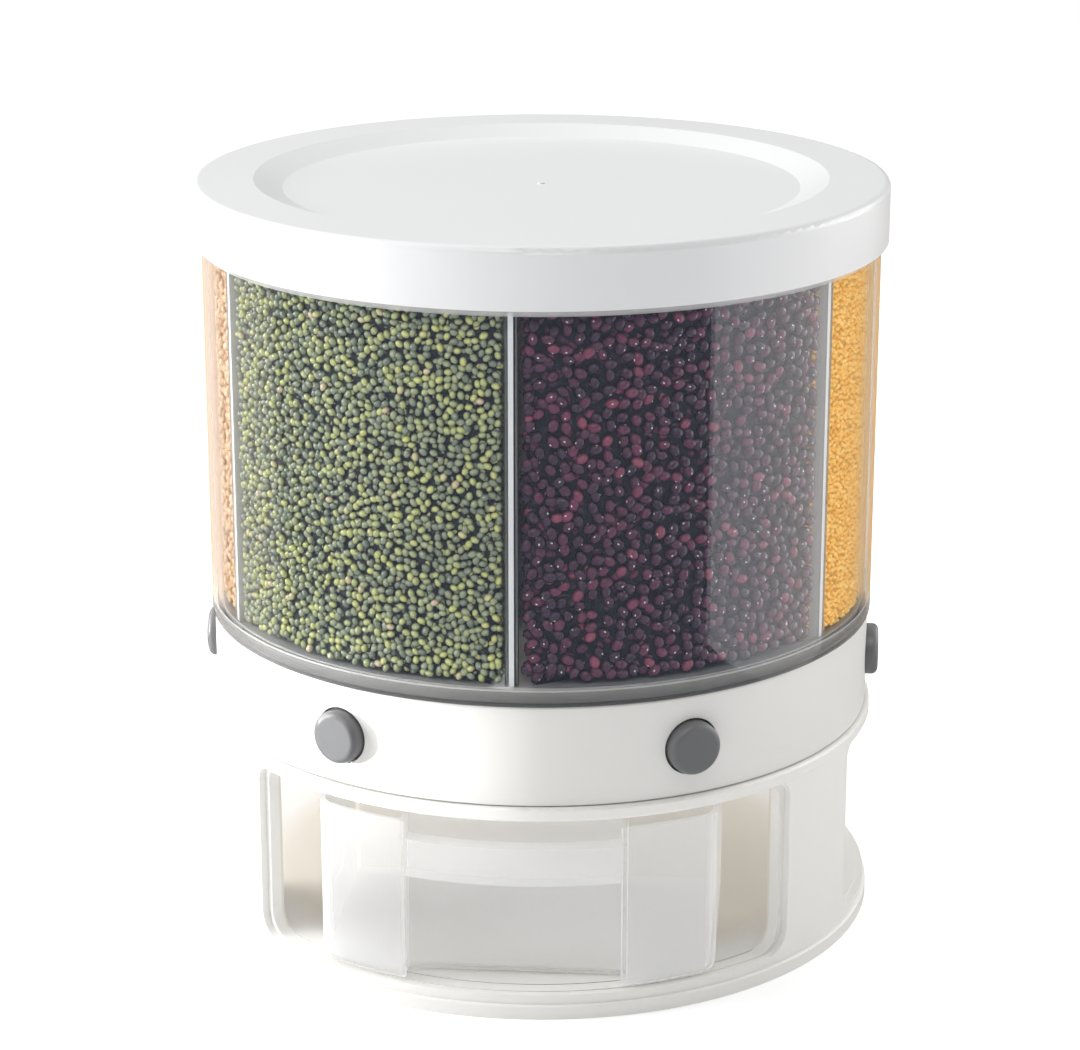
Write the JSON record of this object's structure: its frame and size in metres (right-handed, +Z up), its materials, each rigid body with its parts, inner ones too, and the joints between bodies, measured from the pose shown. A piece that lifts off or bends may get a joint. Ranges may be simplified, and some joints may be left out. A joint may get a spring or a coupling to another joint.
{
  "type": "rotating food storage box",
  "caption": "Round clear canister with radial compartments under a white lid, on a turning ring of push buttons, over an open base with a pull-out measuring cup.",
  "frame": {"origin": "middle of the foot's underside", "axes": "+Z up along the turning axis, -Y towards the measuring cup"},
  "size_m": [0.282, 0.28, 0.3065],
  "materials": {
    "white_plastic": "satin",
    "clear_plastic": "gloss",
    "frosted_plastic": "satin",
    "grey_plastic": "satin",
    "gate_plastic": "satin",
    "glide_plastic": "satin",
    "silicone": "matte",
    "steel": "satin",
    "mung_beans": "matte",
    "adzuki_beans": "matte",
    "millet_grain": "matte",
    "lentils": "matte"
  },
  "bodies": {
    "base": {"base_shell": "white_plastic", "base_floor": "white_plastic", "glide_ring": "glide_plastic"},
    "rotor": {"button_ring": "white_plastic", "gate_deck": "white_plastic", "retaining_ring": "white_plastic", "retaining_screws": "steel", "return_spring_1": "steel", "return_spring_2": "steel", "return_spring_3": "steel", "return_spring_4": "steel", "return_spring_5": "steel", "return_spring_6": "steel"},
    "hopper": {"hopper_barrel": "clear_plastic", "hopper_floor": "clear_plastic", "compartment_divider": "clear_plastic", "outlet_seals": "silicone", "mung_bean_fill": "mung_beans", "adzuki_bean_fill": "adzuki_beans", "millet_fill": "millet_grain", "lentil_fill": "lentils"},
    "lid_body": {"lid": "white_plastic", "lid_seal": "silicone"},
    "cup_body": {"measuring_cup": "frosted_plastic"},
    "button_1": {"push_button_1": "grey_plastic", "slide_gate_1": "gate_plastic"},
    "button_2": {"push_button_2": "grey_plastic", "slide_gate_2": "gate_plastic"},
    "button_3": {"push_button_3": "grey_plastic", "slide_gate_3": "gate_plastic"},
    "button_4": {"push_button_4": "grey_plastic", "slide_gate_4": "gate_plastic"},
    "button_5": {"push_button_5": "grey_plastic", "slide_gate_5": "gate_plastic"},
    "button_6": {"push_button_6": "grey_plastic", "slide_gate_6": "gate_plastic"}
  },
  "joints": [
    {"name": "ring_turn", "type": "hinge", "parent": "base", "child": "rotor", "pos_m": [0, 0, 0.0867], "axis": [0, 0, 1], "continuous": true},
    {"name": "cup_slide", "type": "slide", "parent": "base", "child": "cup_body", "axis": [0, -1, 0], "range_m": [0, 0.18]},
    {"name": "hopper_lift", "type": "slide", "parent": "rotor", "child": "hopper", "axis": [0, 0, 1], "range_m": [0, 0.15]},
    {"name": "lid_lift", "type": "slide", "parent": "hopper", "child": "lid_body", "axis": [0, 0, 1], "range_m": [0, 0.12]},
    {"name": "button_1_press", "type": "slide", "parent": "rotor", "child": "button_1", "axis": [0.5, 0.866, 0], "range_m": [0, 0.012], "stiffness_N_per_m": 400, "springref_m": -0.005, "deforming": ["return_spring_1"]},
    {"name": "button_2_press", "type": "slide", "parent": "rotor", "child": "button_2", "axis": [-0.5, 0.866, 0], "range_m": [0, 0.012], "stiffness_N_per_m": 400, "springref_m": -0.005, "deforming": ["return_spring_2"]},
    {"name": "button_3_press", "type": "slide", "parent": "rotor", "child": "button_3", "axis": [-1, 0, 0], "range_m": [0, 0.012], "stiffness_N_per_m": 400, "springref_m": -0.005, "deforming": ["return_spring_3"]},
    {"name": "button_4_press", "type": "slide", "parent": "rotor", "child": "button_4", "axis": [-0.5, -0.866, 0], "range_m": [0, 0.012], "stiffness_N_per_m": 400, "springref_m": -0.005, "deforming": ["return_spring_4"]},
    {"name": "button_5_press", "type": "slide", "parent": "rotor", "child": "button_5", "axis": [0.5, -0.866, 0], "range_m": [0, 0.012], "stiffness_N_per_m": 400, "springref_m": -0.005, "deforming": ["return_spring_5"]},
    {"name": "button_6_press", "type": "slide", "parent": "rotor", "child": "button_6", "axis": [1, 0, 0], "range_m": [0, 0.012], "stiffness_N_per_m": 400, "springref_m": -0.005, "deforming": ["return_spring_6"]}
  ]
}
